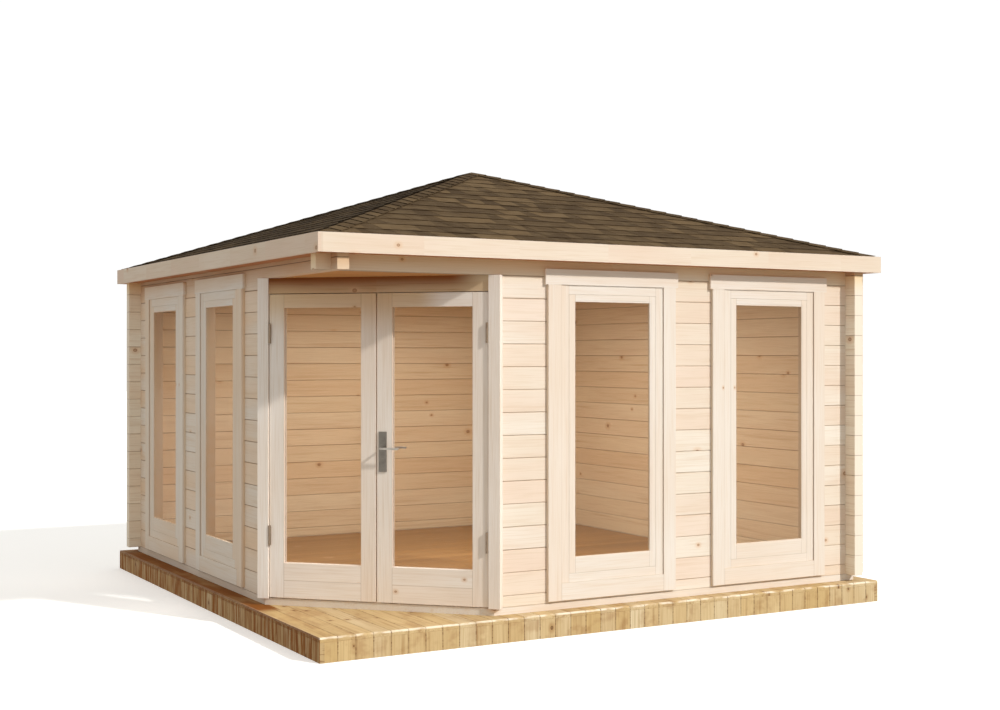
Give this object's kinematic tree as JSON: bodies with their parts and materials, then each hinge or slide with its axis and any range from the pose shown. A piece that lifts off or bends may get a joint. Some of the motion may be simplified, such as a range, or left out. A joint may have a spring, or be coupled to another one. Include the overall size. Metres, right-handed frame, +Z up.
{
  "type": "five-cornered log cabin",
  "caption": "Square garden cabin of notched logs with one corner cut off by a glazed double door, tall windows, a pyramid shingle roof and a low timber deck.",
  "frame": {"origin": "on the ground under the middle of the square deck", "axes": "+Z up; the front wall with two windows faces -Y, the left wall with two windows faces -X, and the door faces between them at 45 degrees"},
  "size_m": [4.1, 4.1, 3.0082],
  "materials": {
    "log_wood": "planed natural spruce",
    "joinery_wood": "planed natural spruce",
    "fascia_wood": "planed natural spruce",
    "frame_wood": "sawn spruce",
    "soffit_wood": "planed spruce boards",
    "floor_wood": "oiled boards",
    "deck_wood": "impregnated boards",
    "shingle": "mineral granules on bitumen felt",
    "pane": "clear",
    "hinge_metal": "galvanised",
    "lock_metal": "satin"
  },
  "bodies": {
    "cabin": {"deck_boards": "deck_wood", "deck_skirts": "deck_wood", "deck_joists": "deck_wood", "base_beams": "log_wood", "floor_bearers": "frame_wood", "floor_boards": "floor_wood", "front_wall_door_pier": "log_wood", "front_wall_middle_pier": "log_wood", "front_wall_far_pier": "log_wood", "front_wall_long_logs": "log_wood", "left_wall_door_pier": "log_wood", "left_wall_middle_pier": "log_wood", "left_wall_far_pier": "log_wood", "left_wall_long_logs": "log_wood", "right_wall_logs": "log_wood", "back_wall_logs": "log_wood", "wall_plates": "log_wood", "front_window_casings": "joinery_wood", "front_window_frames": "joinery_wood", "front_window_sashes": "joinery_wood", "front_window_glass": "pane", "left_window_casings": "joinery_wood", "left_window_frames": "joinery_wood", "left_window_sashes": "joinery_wood", "left_window_glass": "pane", "door_posts": "joinery_wood", "door_header": "joinery_wood", "door_stops": "joinery_wood", "post_hinges": "hinge_metal", "porch_ceiling": "soffit_wood", "hip_rafters": "frame_wood", "jack_rafters": "frame_wood", "king_block": "frame_wood", "roof_boards": "soffit_wood", "roof_shingles": "shingle", "hip_caps": "shingle", "fascias": "fascia_wood", "eaves_soffits": "soffit_wood"},
    "right_leaf": {"right_leaf_frame": "joinery_wood", "right_leaf_glass": "pane", "right_leaf_hinges": "hinge_metal", "lock_plates": "lock_metal"},
    "left_leaf": {"left_leaf_frame": "joinery_wood", "left_leaf_glass": "pane", "left_leaf_hinges": "hinge_metal"},
    "lever": {"lever_handle": "lock_metal"}
  },
  "joints": [
    {"name": "right_leaf_hinge", "type": "hinge", "parent": "cabin", "child": "right_leaf", "pos_m": [-0.92739, -1.90466, 1.184], "axis": [0, 0, 1], "range_deg": [0, 110]},
    {"name": "left_leaf_hinge", "type": "hinge", "parent": "cabin", "child": "left_leaf", "pos_m": [-1.90466, -0.92739, 1.184], "axis": [0, 0, -1], "range_deg": [0, 110]},
    {"name": "lever_turn", "type": "hinge", "parent": "right_leaf", "child": "lever", "pos_m": [-1.38088, -1.43844, 1.112], "axis": [0.7071, 0.7071, 0], "range_deg": [0, 40], "stiffness_Nm_per_rad": 0.6, "springref_deg": -17.19}
  ]
}
